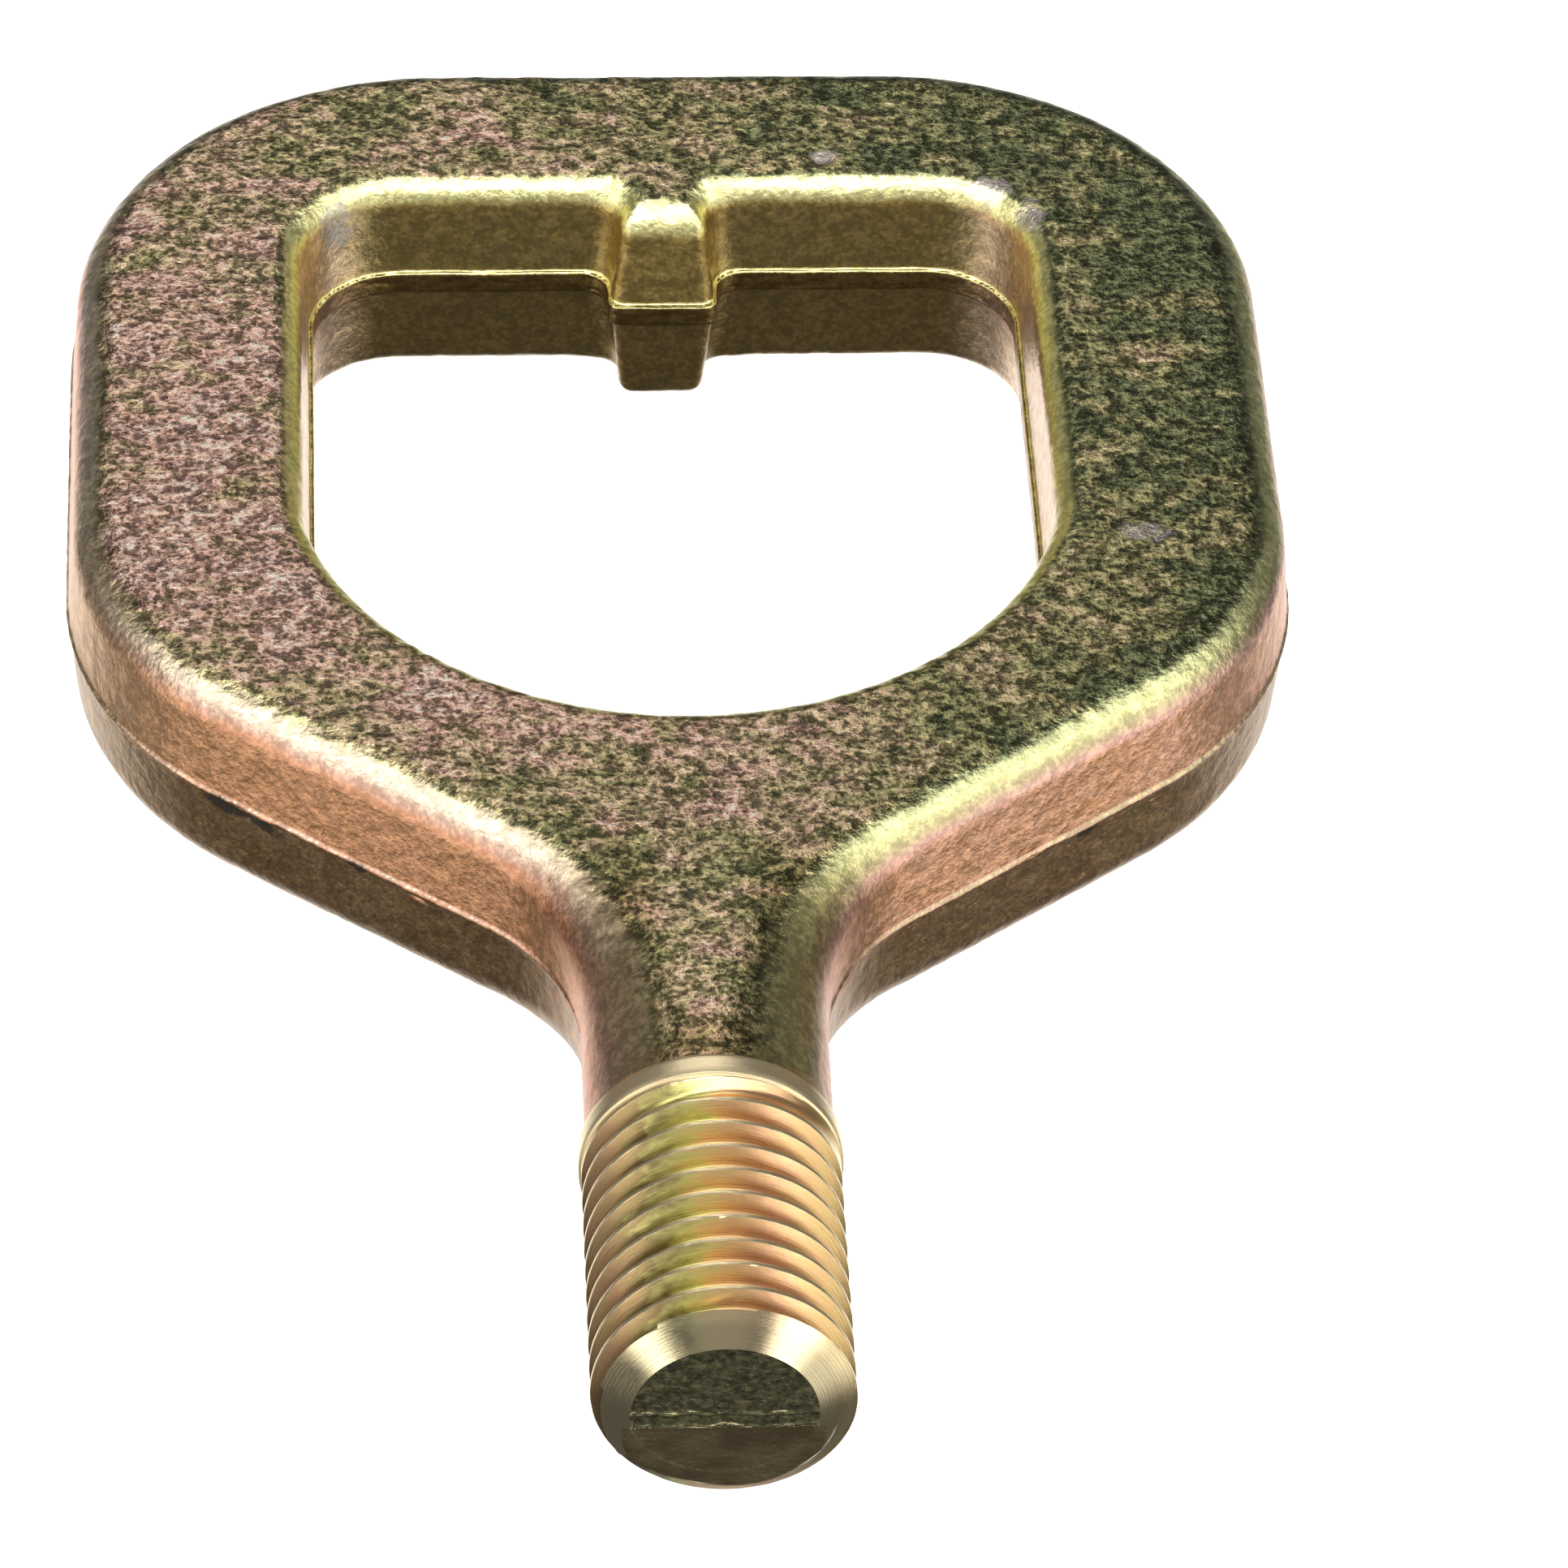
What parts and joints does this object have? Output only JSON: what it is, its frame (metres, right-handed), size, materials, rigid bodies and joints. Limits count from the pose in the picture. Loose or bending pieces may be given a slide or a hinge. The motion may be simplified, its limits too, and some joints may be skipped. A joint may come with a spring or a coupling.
{
  "type": "threaded pad eye",
  "caption": "Drop-forged flat eye with a locating tooth in its aperture and a coarse-threaded stud, for boat and cargo lashing points.",
  "frame": {"origin": "on the stud's axis, at the plane where its thread starts below the plain turned land", "axes": "+Y along the stud's axis from the thread towards the eye, so the stud's tip points to -Y; +Z square to the flat eye; +X across the eye"},
  "size_m": [0.0992, 0.1535, 0.02],
  "materials": {
    "forged_steel": "as forged, blasted and yellow passivated zinc",
    "machined_steel": "turned and threaded, yellow passivated zinc"
  },
  "bodies": {
    "root": {"crown_bar": "forged_steel", "left_crown_corner": "forged_steel", "right_crown_corner": "forged_steel", "left_limb": "forged_steel", "right_limb": "forged_steel", "left_shoulder": "forged_steel", "right_shoulder": "forged_steel", "crotch_web": "forged_steel", "centre_tooth": "forged_steel", "neck": "forged_steel", "turned_land": "machined_steel", "threaded_shank": "machined_steel"}
  },
  "joints": []
}
